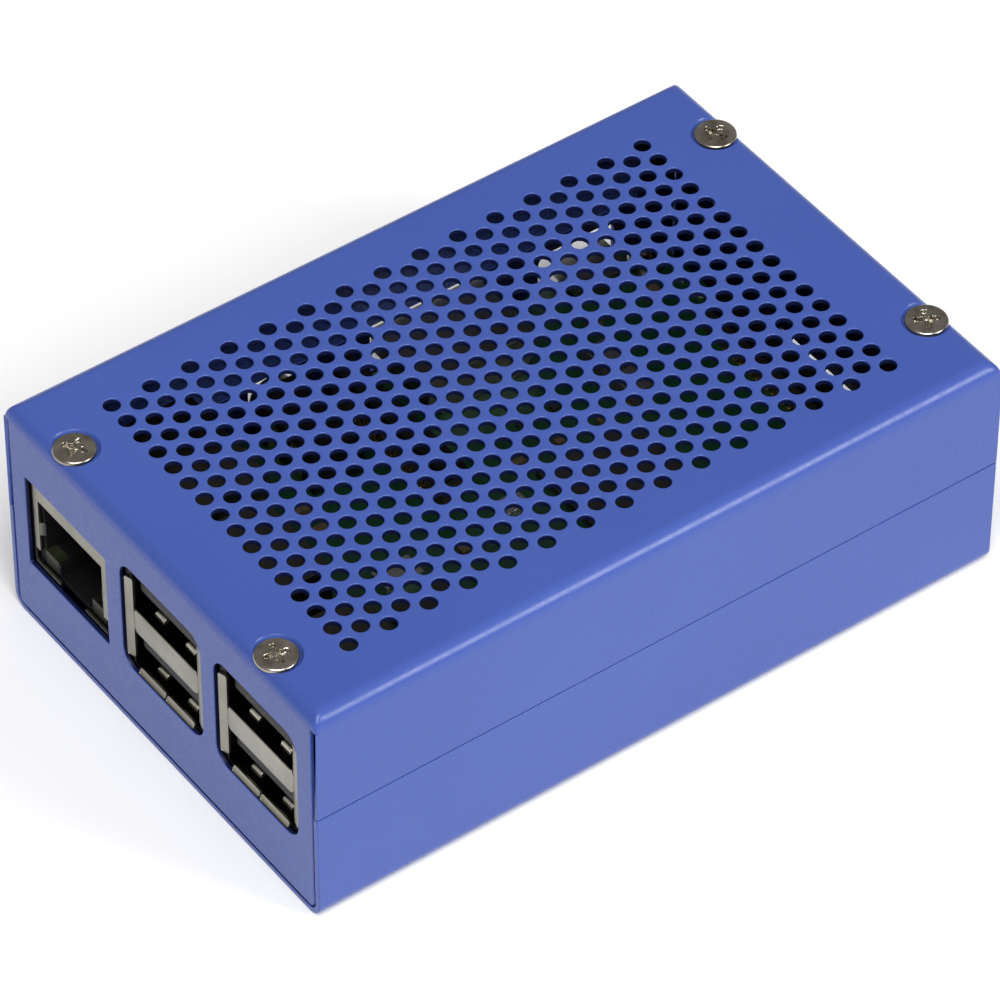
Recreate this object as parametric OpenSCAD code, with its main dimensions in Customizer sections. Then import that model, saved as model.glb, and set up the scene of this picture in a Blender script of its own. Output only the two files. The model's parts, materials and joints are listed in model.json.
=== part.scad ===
// A credit-card sized computer board in a two-piece folded steel case.
// Millimetres, +Z up, origin at the centre of the footprint on the resting face.
// X runs along the case: the network and USB ports face +X, the memory card -X.
// Y runs across it: the pin header is on the +Y side, the video and power side is -Y.

/* [Case] */
// Length of the case, along X
case_l = 92.8; // [92.6:0.1:96]
// Width of the case, along Y
case_w = 59.7; // [59.7:0.1:64]
// Height of the sheet metal, without the screw heads
case_h = 30.9; // [30.5:0.1:34]
// Thickness of the steel sheet
sheet = 0.7; // [0.6:0.05:0.8]
// Thickness of the end panels, which are drawn thinner than the rest of the sheet
end_sheet = 0.5; // [0.45:0.05:0.6]
// Outer radius of every fold
fold_r = 2; // [1.6:0.1:2.4]
// Height of the joint line along the two long sides
seam_z = 15.6; // [15.4:0.1:16.4]
// Width of the joint line
seam_gap = 0.2; // [0.1:0.05:0.3]
// Gap between an end panel and the tray around it
panel_gap = 0.3; // [0.2:0.05:0.4]

/* [Air holes] */
// Diameter of an air hole in the top
air_d = 2; // [1.6:0.1:2.3]
// Distance between neighbouring air holes
air_pitch = 3; // [2.9:0.05:3.1]
// How far the field of air holes lies from the middle, towards the ports
air_shift = 0.5; // [-1:0.1:1]
// Number of rows of air holes along the case
air_rows = 29; // [9:2:29]
// Number of air holes in each long row
air_per_row = 16; // [4:2:16]

/* [Fasteners] */
// Distance of the cover screws from the middle, along X
cover_screw_x = 43.9; // [43.5:0.1:44]
// Distance of the cover screws from the middle, along Y
cover_screw_y = 19.25; // [15:0.25:22]
// Diameter of a cover screw's head
cover_head_d = 5; // [4.5:0.1:5.2]
// Height of a cover screw's head
cover_head_h = 0.55; // [0.45:0.05:0.7]
// Width of the pressed seat around a cover screw
seat_d = 5.7; // [5.3:0.1:6]
// Depth of the pressed seat
seat_depth = 0.5; // [0.4:0.05:0.6]
// Diameter of a screw's thread
thread_d = 2.4; // [2.2:0.1:2.5]
// Length of a cover screw's thread
cover_thread_l = 3.9; // [3:0.1:4.2]
// Diameter of a board screw's head
board_head_d = 4.5; // [4:0.1:5]

/* [Board] */
// Length of the circuit board, along X
board_l = 85; // [85:0.1:85.4]
// Width of the circuit board, along Y
board_w = 56; // [55.8:0.1:56.2]
// Thickness of the circuit board
board_t = 1.5; // [1.4:0.1:1.6]
// Height of the board's upper face above the ground
board_top = 9.2; // [9:0.1:9.3]
// Place of the board's port end, along X
board_end_x = 42.75; // [42.6:0.05:42.8]
// Place of the board's video side, along Y
board_side_y = -28.5; // [-28.5:0.05:-28.4]
// Diameter of the fixing holes
board_hole_d = 2.7; // [2.6:0.1:2.9]

/* [Ports] */
// Clearance between the port faces and the end panel
port_gap = 0.1; // [0.05:0.05:0.2]
// Width of a USB cut-out
usb_cut_w = 15.3; // [14.9:0.1:15.5]
// Height of a USB cut-out
usb_cut_h = 15.7; // [15.5:0.05:16]
// Corner radius of a USB cut-out
usb_cut_r = 1.6; // [1:0.1:2]
// Width of the network cut-out
lan_cut_w = 15.9; // [15.6:0.1:16.2]
// Height of the network cut-out
lan_cut_h = 13.25; // [13:0.05:13.5]
// Lower edge of the port cut-outs
port_cut_z = 9.2; // [9.1:0.05:9.3]
// Centre of the first USB stack, along Y
usb_y_near = 0.5; // [0.3:0.1:0.7]
// Centre of the second USB stack, along Y
usb_y_far = 18.5; // [18.3:0.1:18.7]
// Centre of the network jack, along Y
lan_y = -18.4; // [-18.5:0.05:-18]
// Radius of the hole in the audio jack
audio_bore_r = 1.8; // [1.75:0.05:1.85]

/* [Hidden] */
$fn = 40;
eps = 0.01;

steel_blue = [0.31, 0.39, 0.70];
tin = [0.66, 0.65, 0.60];
nickel = [0.60, 0.57, 0.50];
gold = [0.85, 0.68, 0.30];
resin_black = [0.09, 0.09, 0.10];
board_green = [0.08, 0.36, 0.20];

// Case, derived
half_l = case_l / 2;
half_w = case_w / 2;
inside_x = half_l - end_sheet;
inside_y = half_w - sheet;
inside_z = case_h - sheet;
tray_top = seam_z - seam_gap / 2;
flange_low = seam_z + seam_gap / 2;
panel_y = inside_y - panel_gap;
panel_low = sheet + panel_gap;
relief_z = case_h - fold_r - 0.2;
relief_r = 0.4;
seat_z = case_h - seat_depth;
bracket_top = inside_z - 0.6;
bracket_t = 1.2;
bracket_x0 = half_l - 6;
bracket_x1 = half_l - 1.1;
card_notch_w = 16;
card_notch_z = 7.55;

// Air holes, derived
row_step = air_pitch * sqrt(3) / 2;

// Board, derived: b(x, y) turns the board maker's coordinates into the case's
board_low = board_top - board_t;
board_x0 = board_end_x - board_l;
function b(x, y) = [board_x0 + x, board_side_y + y];
board_holes = [[3.5, 3.5], [61.5, 3.5], [3.5, 52.5], [61.5, 52.5]];
port_face = inside_x - port_gap;

// USB stack: openings and flared front
usb_w = 13.1;
usb_front_w = 15;
usb_back = 28.3;
usb_low = board_top + 0.1;
usb_top = 24.8;
usb_open_w = 12.5;
usb_open_h = 5.2;
usb_floor = [9.75, 18.5];
usb_wall = 0.3;
usb_front_t = 0.35;
usb_core_x = 35.6;
tongue_w = 11.1;
tongue_t = 1.8;
tongue_gap = 0.9;
tongue_tip = port_face - 1.5;
contact_step = 2.3;

// Network jack
lan_w = 15.9;
lan_back = 24.4;
lan_low = board_top + 0.1;
lan_top = 22.6;
lan_open_w = 12.7;
lan_open_top = 19.5;
lan_step_z = 11.7;
lan_step_w = 14.4;
lan_cavity_w = 11.8;
lan_cavity_back = 33;
lan_window_y = 4.7;

// Sockets on the video side
video_x = board_x0 + 32;
video_front = -half_w + 0.1;
video_w = 15;
video_h = 5.7;
power_x = board_x0 + 10.6;
power_front = -inside_y + 0.1;
power_w = 7.6;
power_h = 2.7;
audio_x = board_x0 + 53.5;
audio_z = board_top + 3.05;
audio_front = -half_w + 0.1;
audio_bore_l = 13;

// Pin header
header_n = 20;
header_pitch = 2.54;
pin_w = 0.64;
header_mid = b(32.5, 52.5);

// Flat-cable connectors, each 22 mm long
flex_l = 22;
flex_w = 2.8;
flex_h = 4.2;
latch_h = 1.2;
camera_at = b(45, 11.6);
display_at = b(3.6, 28);
flex_n = 15;

// Memory card
card_y = board_side_y + 28;
card_l = 15;
card_w = 11;
card_t = 0.8;
card_z = board_low - 1.6;
card_x0 = board_x0 - 2.5;

// ---------- shared shapes ----------

// A block between two corners
module box(x0, x1, y0, y1, z0, z1)
    translate([x0, y0, z0])
        cube([x1 - x0, y1 - y0, z1 - z0]);

// Outline of width w and height h, standing on its base, upper corners rounded
module arch(w, h, r) {
    translate([-w / 2, 0])
        square([w, h - r]);
    translate([-w / 2 + r, 0])
        square([w - 2 * r, h]);
    for (s = [-1, 1])
        translate([s * (w / 2 - r), h - r])
            circle(r);
}

// The same outline with its lower corners rounded instead
module trough(w, h, r)
    translate([0, h])
        mirror([0, 1])
            arch(w, h, r);

// Rectangle of size w by h round its centre, all corners rounded
module soft_rect(w, h, r) {
    square([w - 2 * r, h], center = true);
    square([w, h - 2 * r], center = true);
    for (x = [-1, 1], y = [-1, 1])
        translate([x * (w / 2 - r), y * (h / 2 - r)])
            circle(r);
}

// Stands an outline up and carries it along X or along Y, centred
module along_x(l)
    rotate([90, 0, 90])
        linear_extrude(l, center = true)
            children();
module along_y(l)
    rotate([90, 0, 0])
        linear_extrude(l, center = true)
            children();

// The space inside folds of outer size l by w by h and outer radius r
module folded_block(l, w, h, r)
    intersection() {
        along_y(w + 2)
            arch(l, h, r);
        along_x(l + 2)
            arch(w, h, r);
    }

// Places the four cover screws
module at_cover_screws()
    for (x = [-1, 1], y = [-1, 1])
        translate([x * cover_screw_x, y * cover_screw_y, 0])
            children();

// Places the four board fixings
module at_board_holes()
    for (p = board_holes)
        translate(b(p[0], p[1]))
            children();

// Flat outline of the air holes: staggered rows, long and short by turns
module air_holes()
    for (row = [0 : air_rows - 1]) {
        n = air_per_row - row % 2;
        for (i = [0 : n - 1])
            translate([air_shift + (row - (air_rows - 1) / 2) * row_step, (i - (n - 1) / 2) * air_pitch])
                circle(d = air_d, $fn = 24);
    }

// ---------- case ----------

// Holes in the tray's wall for the sockets on the -Y side, open above for those that reach into it
module side_windows() {
    box(video_x - 8, video_x + 8, -half_w - 1, -inside_y + 0.1, board_top - 0.4, tray_top + 1);
    translate([audio_x, -inside_y + 0.1, audio_z])
        rotate([90, 0, 0])
            cylinder(h = sheet + 1, r = 3.4);
    box(audio_x - 3.4, audio_x + 3.4, -half_w - 1, -inside_y + 0.1, audio_z, tray_top + 1);
    translate([power_x, -half_w, board_top + power_h / 2])
        along_y(3)
            soft_rect(11, 6.4, 1.5);
}

module bottom_tray()
    color(steel_blue)
        difference() {
            along_x(case_l)
                difference() {
                    trough(case_w, tray_top, fold_r);
                    translate([0, sheet])
                        trough(case_w - 2 * sheet, tray_top, fold_r - sheet);
                }
            side_windows();
            at_board_holes()
                translate([0, 0, -1])
                    cylinder(h = 3, d = 4.3);
            // finger room below the memory card
            translate([-half_l, card_y, -1])
                cylinder(h = 3, d = 12);
        }

module top_cover()
    color(steel_blue)
        difference() {
            folded_block(case_l, case_w, case_h, fold_r);
            difference() {
                translate([0, 0, -eps])
                    folded_block(case_l - 2 * end_sheet, case_w - 2 * sheet, inside_z + eps, fold_r - sheet);
                at_cover_screws()
                    translate([0, 0, bracket_top + 0.1])
                        cylinder(h = 2, d = cover_head_d);
            }
            // nothing of the cover below the end panels, nor beside them below the joint line
            box(-half_l - 1, half_l + 1, -half_w - 1, half_w + 1, -1, panel_low);
            for (s = [-1, 1]) {
                translate([0, s * (panel_y + half_w + 1) / 2, flange_low / 2])
                    cube([case_l + 2, half_w + 1 - panel_y, flange_low], center = true);
                // slots that free the end panels from the long flanges
                translate([0, s * (panel_y + panel_gap / 2), relief_z / 2])
                    cube([case_l + 2, panel_gap, relief_z], center = true);
                translate([0, s * (panel_y + panel_gap / 2), relief_z])
                    rotate([0, 90, 0])
                        cylinder(h = case_l + 2, r = relief_r, center = true);
                // lower corners of the panels, round like the tray's folds
                translate([0, s * (panel_y - 1), panel_low + 1])
                    rotate([0, 90, 0])
                        corner_waste(s);
            }
            // port openings in the front panel
            for (y = [usb_y_near, usb_y_far])
                translate([half_l, y, port_cut_z + usb_cut_h / 2])
                    along_x(6)
                        soft_rect(usb_cut_w, usb_cut_h, usb_cut_r);
            translate([half_l, lan_y, port_cut_z + lan_cut_h / 2])
                along_x(6)
                    square([lan_cut_w, lan_cut_h], center = true);
            // slot for the memory card in the rear panel, open below so the cover lifts off
            box(-half_l - 1, -inside_x + 1, card_y - card_notch_w / 2, card_y + card_notch_w / 2,
                0, card_notch_z);
            // screw seats and screw holes
            at_cover_screws() {
                translate([0, 0, seat_z])
                    cylinder(h = 2, d = seat_d);
                translate([0, 0, inside_z - 2])
                    cylinder(h = 4, d = thread_d + 0.4);
            }
            translate([0, 0, inside_z - 1])
                linear_extrude(3)
                    air_holes();
        }

// What a round lower corner of the end panels takes away, on side s
module corner_waste(s)
    linear_extrude(case_l + 2, center = true)
        difference() {
            translate([0, s > 0 ? 0 : -2])
                square([2, 2]);
            circle(1);
        }

module cover_screws()
    color(nickel)
        at_cover_screws()
            difference() {
                union() {
                    translate([0, 0, seat_z])
                        rotate_extrude()
                            screw_head(cover_head_d / 2, cover_head_h, 0.25);
                    translate([0, 0, seat_z - cover_thread_l])
                        cylinder(h = cover_thread_l + 0.1, d = thread_d);
                }
                translate([0, 0, seat_z + cover_head_h - 0.55])
                    cross_recess(2.8);
            }

// Half outline of a low screw head with a rounded upper edge
module screw_head(r, h, round_r) {
    square([r, h - round_r]);
    square([r - round_r, h]);
    translate([r - round_r, h - round_r])
        circle(round_r);
}

// Cross-shaped driver recess of width w
module cross_recess(w)
    for (a = [0, 90])
        rotate(a)
            translate([-w / 2, -0.3, 0])
                cube([w, 0.6, 2]);

// Bridge that spans the tray at one end, s = 1 for the port end, and takes two cover screws
module bridge_bracket(s)
    color(steel_blue)
        difference() {
            union() {
                translate([s * (bracket_x0 + bracket_x1) / 2, 0, 0])
                    along_x(bracket_x1 - bracket_x0)
                        difference() {
                            arch(2 * inside_y - 0.4, bracket_top, 1.6);
                            translate([0, -1])
                                arch(2 * inside_y - 1.8, bracket_top + 1 - bracket_t, 1);
                            translate([-half_w, -1])
                                square([case_w, tray_top - 0.5]);
                        }
                for (y = [-1, 1])
                    translate([s * (bracket_x0 + bracket_x1) / 2, y * (inside_y - 0.3), 8.7])
                        cube([bracket_x1 - bracket_x0, 0.6, 12.8], center = true);
            }
            at_cover_screws()
                translate([0, 0, 20])
                    cylinder(h = 12, d = thread_d + 0.2);
        }

module front_bracket() bridge_bracket(1);
module rear_bracket() bridge_bracket(-1);

// ---------- board and its fixings ----------

module standoffs()
    color(tin)
        at_board_holes()
            difference() {
                union() {
                    translate([0, 0, sheet])
                        cylinder(h = board_low - sheet, d = 5.5, $fn = 6);
                    cylinder(h = sheet + 0.1, d = 4.2);
                }
                translate([0, 0, board_low - 5])
                    cylinder(h = 6, d = thread_d + 0.1);
            }

module board_screws()
    color(nickel)
        at_board_holes()
            difference() {
                union() {
                    translate([0, 0, board_top])
                        rotate_extrude()
                            screw_head(board_head_d / 2, 1.6, 0.7);
                    translate([0, 0, board_low - 4])
                        cylinder(h = board_t + 4.1, d = thread_d);
                }
                translate([0, 0, board_top + 0.9])
                    cross_recess(2.4);
            }

module circuit_board()
    color(board_green)
        translate([0, 0, board_low])
            linear_extrude(board_t)
                difference() {
                    translate([board_x0 + board_l / 2, board_side_y + board_w / 2])
                        soft_rect(board_l, board_w, 3);
                    at_board_holes()
                        circle(d = board_hole_d);
                }

// ---------- USB stacks ----------

// Tinned shell of a double USB socket centred on y: a box with two openings, a plate between
// them, a flared front and two spring fingers in each opening
module usb_shell(y)
    color(tin)
        translate([0, y, 0]) {
            difference() {
                union() {
                    box(usb_back, port_face - usb_front_t, -usb_w / 2, usb_w / 2, usb_low, usb_top);
                    translate([port_face - usb_front_t / 2, 0, (usb_low + usb_top) / 2])
                        along_x(usb_front_t)
                            soft_rect(usb_front_w, usb_top - usb_low, 1);
                }
                for (z = usb_floor)
                    box(usb_core_x - 1, half_l, -usb_open_w / 2, usb_open_w / 2, z, z + usb_open_h);
                // space behind the openings, open below for the pins
                box(usb_back + usb_wall, usb_core_x, -usb_open_w / 2, usb_open_w / 2,
                    0, usb_top - usb_wall);
                // the flared edges are cut apart at the corners and below
                for (s = [-1, 1], z = [usb_low, usb_top])
                    translate([port_face, s * usb_front_w / 2, z])
                        cube([2 * usb_front_t, 1.6, 1.6], center = true);
                translate([port_face, 0, usb_low])
                    cube([2 * usb_front_t, 1.2, 1.4], center = true);
            }
            for (z = usb_floor, s = [-1, 1])
                box(port_face - 4.5, port_face - 1.3, s * 2.95 - 0.85, s * 2.95 + 0.85, z - 0.2, z + 0.4);
        }

// Black insert: one block behind with a tongue into each opening
module usb_insert(y)
    color(resin_black)
        translate([0, y, 0]) {
            box(usb_back + usb_wall + 0.05, usb_core_x - 1, -6.2, 6.2, usb_low, usb_top - 0.35);
            for (z = usb_floor) {
                box(usb_core_x - 1 - eps, usb_core_x - 0.02, -6.2, 6.2, z + 0.05, z + usb_open_h - 0.05);
                box(usb_core_x - 0.1, tongue_tip, -tongue_w / 2, tongue_w / 2,
                    z + usb_open_h - tongue_gap - tongue_t, z + usb_open_h - tongue_gap);
            }
        }

// Four flat contacts under each tongue
module usb_contacts(y)
    color(gold)
        for (z = usb_floor, i = [-1.5 : 1 : 1.5])
            translate([usb_core_x, y + i * contact_step - 0.5, z + usb_open_h - tongue_gap - tongue_t - 0.2])
                cube([tongue_tip - usb_core_x - 1, 1, 0.2]);

module usb_shell_middle() usb_shell(usb_y_near);
module usb_insert_middle() usb_insert(usb_y_near);
module usb_contacts_middle() usb_contacts(usb_y_near);
module usb_shell_side() usb_shell(usb_y_far);
module usb_insert_side() usb_insert(usb_y_far);
module usb_contacts_side() usb_contacts(usb_y_far);

// ---------- network jack ----------

// Outline of the network jack's mouth, seen from the front
module network_mouth(w, grow) {
    translate([-w / 2, lan_step_z - grow])
        square([w, lan_open_top - lan_step_z + grow]);
    translate([-lan_step_w / 2, lan_low + 0.4])
        square([lan_step_w, lan_step_z - lan_low - 0.4]);
}

module network_shell()
    color(tin)
        difference() {
            translate([0, lan_y, 0])
                box(lan_back, port_face, -lan_w / 2, lan_w / 2, lan_low, lan_top);
            translate([0, lan_y, 0])
                box(lan_back + usb_wall, port_face - 0.5, -lan_w / 2 + 0.3, lan_w / 2 - 0.3,
                    0, lan_top - 0.3);
            translate([half_l, lan_y, 0])
                along_x(10)
                    network_mouth(lan_open_w, 0.1);
            // the lower edge is open in the middle for the plug's lever
            translate([half_l, lan_y, lan_low])
                cube([4, 5, 2], center = true);
        }

module network_housing()
    color(resin_black)
        difference() {
            translate([0, lan_y, 0])
                box(lan_back + 0.35, port_face - 0.55, -lan_w / 2 + 0.35, lan_w / 2 - 0.35,
                    lan_low, lan_top - 0.35);
            translate([0, lan_y, 0])
                box(lan_cavity_back, half_l, -lan_cavity_w / 2, lan_cavity_w / 2, lan_step_z, lan_open_top - 0.4);
            translate([0, lan_y, 0])
                box(lan_cavity_back + 3, half_l, -3.1, 3.1, lan_low + 0.6, lan_step_z + 1);
            // pockets for the two signal windows
            for (s = [-1, 1])
                translate([port_face - 1.2, lan_y + s * lan_window_y, lan_low + 1.6])
                    cube([1.6, 2.8, 2.2], center = true);
        }

// Eight sprung wires that lean down into the cavity
module network_contacts()
    color(gold)
        for (i = [-3.5 : 3.5])
            translate([lan_cavity_back + 0.05, lan_y + i * 1.02 - 0.2, lan_open_top - 0.75])
                rotate([0, 22, 0])
                    cube([7.5, 0.4, 0.3]);

module network_windows()
    color([0.55, 0.62, 0.42])
        for (s = [-1, 1])
            translate([port_face - 1.25, lan_y + s * lan_window_y, lan_low + 1.6])
                cube([1.5, 2.6, 2], center = true);

// ---------- sockets on the video side ----------

// Outline of the video socket, its lower corners cut off
module video_outline(w, h, cut)
    polygon([[-w / 2, h], [w / 2, h], [w / 2, cut + 0.6], [w / 2 - cut, 0], [cut - w / 2, 0],
             [-w / 2, cut + 0.6]]);

module video_shell()
    color(tin)
        translate([video_x, video_front + 5.75, board_top + 0.05])
            difference() {
                along_y(11.5)
                    video_outline(video_w, video_h, 1.9);
                translate([0, -0.6, 0.45])
                    along_y(11.5)
                        video_outline(video_w - 0.9, video_h - 0.9, 1.7);
            }

module video_insert()
    color(resin_black)
        translate([video_x, video_front, board_top + 0.05]) {
            box(-5.3, 5.3, 7.5, 10.85, 0.55, video_h - 0.5);
            box(-5.3, 5.3, 1.6, 7.6, 2.2, 3.3);
        }

module video_contacts()
    color(gold)
        for (i = [-4 : 5])
            translate([video_x + i * 1 - 0.5 - 0.2, video_front + 2, board_top + 0.05 + 3.3])
                cube([0.4, 5.4, 0.12]);

module power_shell()
    color(tin)
        translate([power_x, power_front + 2.8, board_top])
            difference() {
                along_y(5.6)
                    video_outline(power_w, power_h, 0.8);
                translate([0, -0.4, 0.3])
                    along_y(5.6)
                        video_outline(power_w - 0.6, power_h - 0.6, 0.7);
            }

module power_tongue()
    color(resin_black)
        translate([power_x, power_front, board_top]) {
            box(-2.6, 2.6, 3.6, 5.18, 0.35, power_h - 0.4);
            box(-1.9, 1.9, 0.9, 3.7, 1.3, 1.9);
        }

// Plastic body of the audio jack, with the barrel that reaches the case wall
module audio_body()
    color(resin_black)
        difference() {
            union() {
                box(audio_x - 3.5, audio_x + 3.5, board_side_y, board_side_y + 12.5,
                    board_top, board_top + 6.05);
                translate([audio_x, board_side_y + 1, audio_z])
                    rotate([90, 0, 0])
                        cylinder(h = board_side_y + 1 - audio_front, r = 3);
            }
            translate([audio_x, audio_front + audio_bore_l, audio_z])
                rotate([90, 0, 0])
                    cylinder(h = audio_bore_l + 1, r = audio_bore_r);
            for (s = [-1, 1], y = [3, 7.5])
                translate([audio_x + s * 3.35, board_side_y + y + 1.2, board_top + 2.5])
                    cube([0.7, 2.6, 5.2], center = true);
        }

// Springs of the audio jack, in pockets in its two sides
module audio_contacts()
    color(gold)
        for (s = [-1, 1], y = [3, 7.5])
            translate([audio_x + s * 3.2, board_side_y + y + 1.2, board_top + 2.4])
                cube([0.3, 2.4, 4.8], center = true);

// ---------- pin header ----------

module at_header_pins()
    for (i = [0 : header_n - 1], row = [-0.5, 0.5])
        translate([header_mid[0] + (i - (header_n - 1) / 2) * header_pitch,
                   header_mid[1] + row * header_pitch])
            children();

module header_base()
    color(resin_black)
        translate([0, 0, board_top])
            linear_extrude(2.5)
                difference() {
                    translate(header_mid)
                        square([header_n * header_pitch, 2 * header_pitch], center = true);
                    at_header_pins()
                        square(pin_w + 0.06, center = true);
                }

module header_pins()
    color(gold)
        translate([0, 0, board_top])
            linear_extrude(8.5)
                at_header_pins()
                    square(pin_w, center = true);

// ---------- flat-cable connectors ----------

// Body of a flat-cable connector, long along Y, with the slot that takes the cable
module flex_connector(at)
    color([0.88, 0.87, 0.83])
        translate([at[0], at[1], board_top])
            difference() {
                box(-flex_w / 2, flex_w / 2, -flex_l / 2, flex_l / 2, 0, flex_h);
                box(-0.55, 0.55, -flex_l / 2 + 2, flex_l / 2 - 2, 1, flex_h + 1);
                for (i = [0 : flex_n - 1])
                    translate([flex_w / 2, (i - (flex_n - 1) / 2), 0])
                        cube([0.8, 0.5, 3], center = true);
            }

// Bar on top that is drawn up to free the cable, with a short wedge in the slot
module flex_latch(at)
    color([0.18, 0.16, 0.15])
        translate([at[0], at[1], board_top + flex_h]) {
            box(-flex_w / 2 - 0.1, flex_w / 2 + 0.1, -flex_l / 2 - 0.4, flex_l / 2 + 0.4, 0.05, latch_h);
            box(-0.2, 0.2, -flex_l / 2 + 2.4, flex_l / 2 - 2.4, -2, 0.06);
        }

module flex_contacts(at)
    color(gold)
        translate([at[0], at[1], board_top])
            for (i = [0 : flex_n - 1])
                translate([flex_w / 2 - 0.35, (i - (flex_n - 1) / 2) - 0.2, 0])
                    cube([0.9, 0.4, 0.6]);

module camera_connector() flex_connector(camera_at);
module camera_latch() flex_latch(camera_at);
module camera_contacts() flex_contacts(camera_at);
module display_connector() flex_connector(display_at);
module display_latch() flex_latch(display_at);
module display_contacts() flex_contacts(display_at);

// ---------- components ----------

// A flat package of size l by w by h, centred on the board's point p, on the upper face
module chip(p, l, w, h)
    translate(concat(b(p[0], p[1]), board_top + h / 2))
        cube([l, w, h], center = true);

module processor()
    color(resin_black) {
        chip([28, 31.5], 14, 14, 1);
        translate([0, 0, 1 - eps])
            chip([28, 31.5], 12.6, 12.6, 0.45);
    }

module memory_chip()
    color(resin_black)
        translate([0, 0, -board_t - 0.9])
            chip([28, 31.5], 12, 11.5, 0.9);

module network_chip()
    color(resin_black)
        chip([57, 37], 9, 9, 0.95);

module power_chip()
    color(resin_black)
        chip([12, 40], 6, 6, 0.9);

// Square coils near the power inlet
module coils()
    color([0.35, 0.35, 0.36])
        for (p = [[9, 45.5], [15.5, 45.5], [17.5, 14.5], [17.5, 20]])
            chip(p, 4, 4, 2);

// Small ceramic capacitors in rows round the chips
module capacitors()
    color([0.72, 0.60, 0.42]) {
        for (i = [0 : 5], s = [-1, 1])
            chip([20.5 + 3 * i, 31.5 + s * 9.5], 1.6, 0.8, 0.8);
        for (i = [0 : 3], s = [-1, 1])
            chip([57 + s * 7, 33 + 2.6 * i], 0.8, 1.6, 0.8);
        for (p = [[6.5, 8.5], [14.8, 8.5], [48.5, 30], [60, 14], [60, 18]])
            chip(p, 2, 1.25, 1.25);
    }

module resistors()
    color([0.12, 0.12, 0.13]) {
        for (i = [0 : 5])
            chip([40 + 1.8 * i, 44.5], 0.8, 1.6, 0.5);
        for (i = [0 : 3])
            chip([24 + 2.4 * i, 17], 1.6, 0.8, 0.5);
        for (i = [0 : 3])
            chip([67.2, 31 + 2.2 * i], 1.6, 0.8, 0.5);
    }

module crystals()
    color([0.75, 0.75, 0.73]) {
        chip([40, 27], 3.2, 2.5, 0.8);
        chip([57, 28.5], 5, 3.2, 1);
    }

module status_lights()
    color([0.80, 0.85, 0.75]) {
        chip([1.6, 7.9], 1, 1.6, 0.7);
        chip([1.6, 11.4], 1, 1.6, 0.7);
    }

// Metal socket under the board for the memory card
module card_socket()
    color(tin)
        difference() {
            box(board_x0 + 0.4, board_x0 + 14.5, card_y - 7, card_y + 7, card_z - 0.45, board_low);
            box(board_x0 - 1, board_x0 + 13, card_y - card_w / 2 - 0.15, card_y + card_w / 2 + 0.15,
                card_z - 0.15, card_z + card_t + 0.15);
        }

// Memory card with a raised grip edge; its outline steps in along one side
module memory_card()
    color([0.13, 0.13, 0.15]) {
        translate([card_x0, card_y, card_z])
            linear_extrude(card_t)
                polygon([[0, -card_w / 2], [card_l, -card_w / 2], [card_l, card_w / 2 - 1.3],
                         [card_l - 6.5, card_w / 2 - 1.3], [card_l - 7.8, card_w / 2],
                         [0, card_w / 2]]);
        translate([card_x0, card_y - card_w / 2 + 0.4, card_z + card_t - eps])
            cube([1.4, card_w - 0.8, 0.25]);
    }

bottom_tray();
top_cover();
cover_screws();
front_bracket();
rear_bracket();
standoffs();
board_screws();
circuit_board();
usb_shell_middle();
usb_insert_middle();
usb_contacts_middle();
usb_shell_side();
usb_insert_side();
usb_contacts_side();
network_shell();
network_housing();
network_contacts();
network_windows();
video_shell();
video_insert();
video_contacts();
power_shell();
power_tongue();
audio_body();
audio_contacts();
header_base();
header_pins();
camera_connector();
camera_latch();
camera_contacts();
display_connector();
display_latch();
display_contacts();
processor();
memory_chip();
network_chip();
power_chip();
coils();
capacitors();
resistors();
crystals();
status_lights();
card_socket();
memory_card();
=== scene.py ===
"""Looks of a small computer board in a blue folded steel case, built round its CAD frame.

Lengths in this script are millimetres until they enter a mesh, where MM turns them into metres.
"""

import json
import math

import bmesh
import bpy
import numpy as np
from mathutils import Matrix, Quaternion, Vector
from mathutils.geometry import delaunay_2d_cdt


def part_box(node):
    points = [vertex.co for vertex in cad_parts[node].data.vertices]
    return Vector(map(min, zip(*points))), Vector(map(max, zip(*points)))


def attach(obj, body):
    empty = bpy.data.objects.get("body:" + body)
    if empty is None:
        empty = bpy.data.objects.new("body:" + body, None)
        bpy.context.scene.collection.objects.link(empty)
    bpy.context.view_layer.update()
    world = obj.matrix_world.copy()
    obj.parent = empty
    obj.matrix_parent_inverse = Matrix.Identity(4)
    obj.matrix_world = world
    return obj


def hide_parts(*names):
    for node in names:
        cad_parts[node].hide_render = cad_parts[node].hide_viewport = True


MM = 0.001
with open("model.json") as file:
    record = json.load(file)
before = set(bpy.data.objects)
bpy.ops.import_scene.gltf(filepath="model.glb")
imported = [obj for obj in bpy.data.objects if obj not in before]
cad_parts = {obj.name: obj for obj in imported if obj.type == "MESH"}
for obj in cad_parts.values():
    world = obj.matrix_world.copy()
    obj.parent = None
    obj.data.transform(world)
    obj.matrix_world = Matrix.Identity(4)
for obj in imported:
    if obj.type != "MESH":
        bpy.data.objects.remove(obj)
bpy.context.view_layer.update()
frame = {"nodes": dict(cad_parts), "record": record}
nodes = frame["nodes"]


def low_high(node):
    """Lowest and highest corner of a CAD node in millimetres, as arrays."""
    low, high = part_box(node)
    return np.array(low) / MM, np.array(high) / MM


# ---------------------------------------------------------------- sizes read from the frame

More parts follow.
